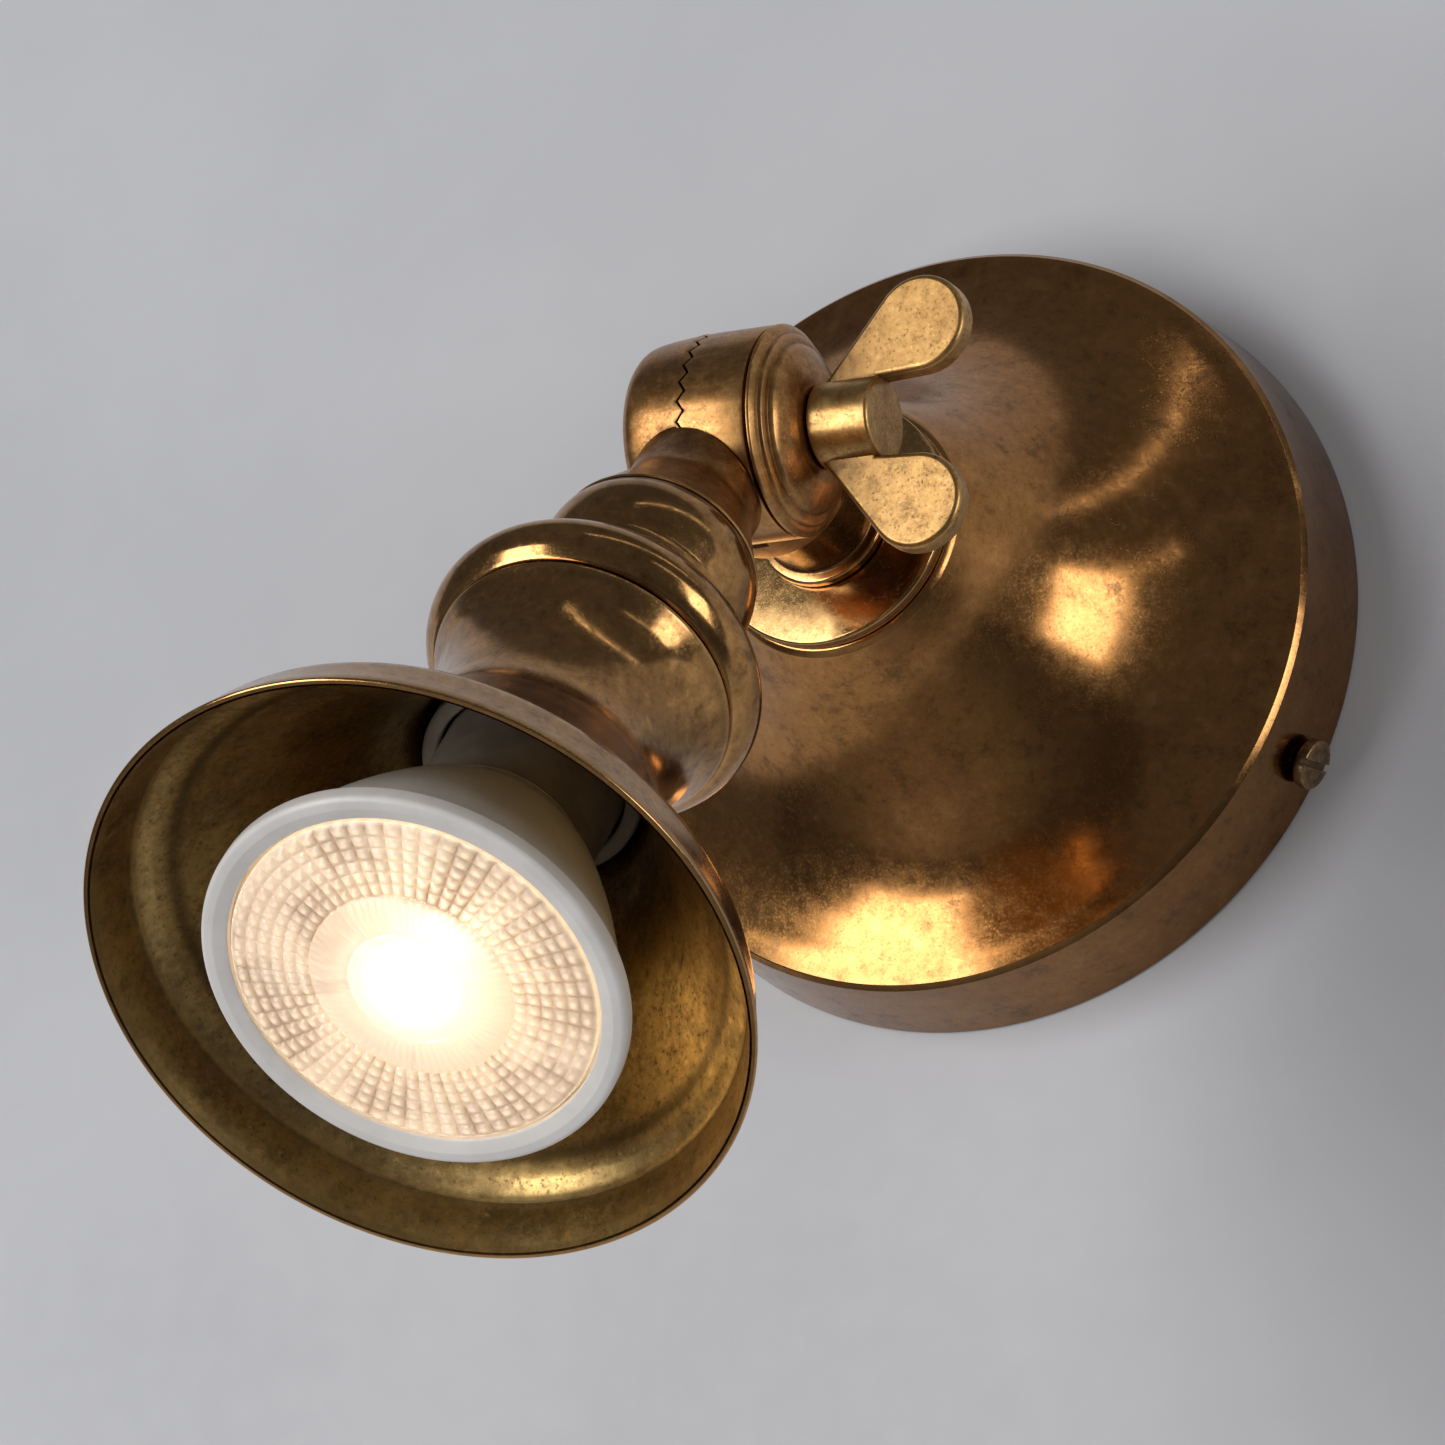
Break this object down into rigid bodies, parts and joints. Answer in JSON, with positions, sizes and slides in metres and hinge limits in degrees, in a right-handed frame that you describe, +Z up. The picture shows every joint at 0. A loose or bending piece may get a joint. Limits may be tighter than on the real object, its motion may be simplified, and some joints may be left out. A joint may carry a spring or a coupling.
{
  "type": "picture light",
  "caption": "Wall-mounted antique brass picture light: bell rose, knuckle joint with wing nut, and a flared spot head with a white reflector lamp.",
  "frame": {"origin": "centre of the wall rose's back, on the wall plane", "axes": "+Y points into the wall, +Z is up, and +X runs along the joint's axis to the wing nut"},
  "size_m": [0.1024, 0.174, 0.1637],
  "materials": {
    "aged_brass": "antique, satin, mottled brown patina",
    "worn_brass": "antique, rubbed brighter, speckled",
    "bright_brass": "plain turned brass",
    "zinc_steel": "zinc plated",
    "block_plastic": "moulded",
    "earth_sleeve": "sleeved wire",
    "flex_sheath": "matt sheath",
    "steatite": "unglazed",
    "lamp_white": "satin moulded",
    "lamp_lens": "faceted clear plastic lens",
    "board_white": "solder mask",
    "emitter": "phosphor"
  },
  "bodies": {
    "wall_fixing": {"rose_bell": "aged_brass", "wall_bracket": "zinc_steel", "side_screw_right": "aged_brass", "side_screw_left": "aged_brass", "terminal_block": "block_plastic", "terminal_screw_live": "bright_brass", "terminal_screw_earth": "bright_brass", "terminal_screw_neutral": "bright_brass", "earth_screw": "zinc_steel", "earth_tag": "bright_brass", "earth_wire": "earth_sleeve", "rose_collar": "worn_brass", "stem_tube": "aged_brass", "stem_nipple": "bright_brass", "stem_lock_washer": "zinc_steel", "stem_lock_nut": "bright_brass", "knuckle_base": "aged_brass", "supply_flex_stem": "flex_sheath"},
    "lamp_head": {"knuckle_head": "aged_brass", "clamp_bolt": "zinc_steel", "knuckle_side_cover": "aged_brass", "neck_ball": "aged_brass", "head_nipple": "bright_brass", "gallery": "aged_brass", "head_lock_nut": "bright_brass", "shade": "aged_brass", "lampholder": "steatite", "holder_screw_upper": "zinc_steel", "holder_screw_lower": "zinc_steel", "holder_contact_upper": "bright_brass", "holder_contact_lower": "bright_brass", "supply_flex_head": "flex_sheath"},
    "nut_carriage": {"pressure_cap": "aged_brass"},
    "nut": {"wing_nut": "worn_brass"},
    "lamp": {"lamp_base": "lamp_white", "lamp_body": "lamp_white", "lamp_front_ring": "lamp_white", "lamp_lens": "lamp_lens", "lamp_led_board": "board_white", "lamp_led_emitter": "emitter", "lamp_pin_left": "zinc_steel", "lamp_pin_right": "zinc_steel"}
  },
  "joints": [
    {"name": "knuckle_tilt", "type": "hinge", "parent": "wall_fixing", "child": "lamp_head", "pos_m": [0, -0.0772, -0.0003], "axis": [1, 0, 0], "range_deg": [-140, 35]},
    {"name": "clamp_cap_slide", "type": "slide", "parent": "wall_fixing", "child": "nut_carriage", "axis": [1, 0, 0], "range_m": [0, 0.0016]},
    {"name": "wing_nut_turn", "type": "hinge", "parent": "nut_carriage", "child": "nut", "pos_m": [0, -0.0772, -0.0003], "axis": [1, 0, 0], "range_deg": [0, 720]},
    {"name": "lamp_twist", "type": "hinge", "parent": "lamp_head", "child": "lamp", "pos_m": [0.0008, -0.0772, -0.0003], "axis": [0, -0.5892, -0.808], "range_deg": [0, 15]}
  ],
  "couplings": [
    {"joint": "wing_nut_turn", "follows": "clamp_cap_slide", "rad_per_m": 7854}
  ]
}
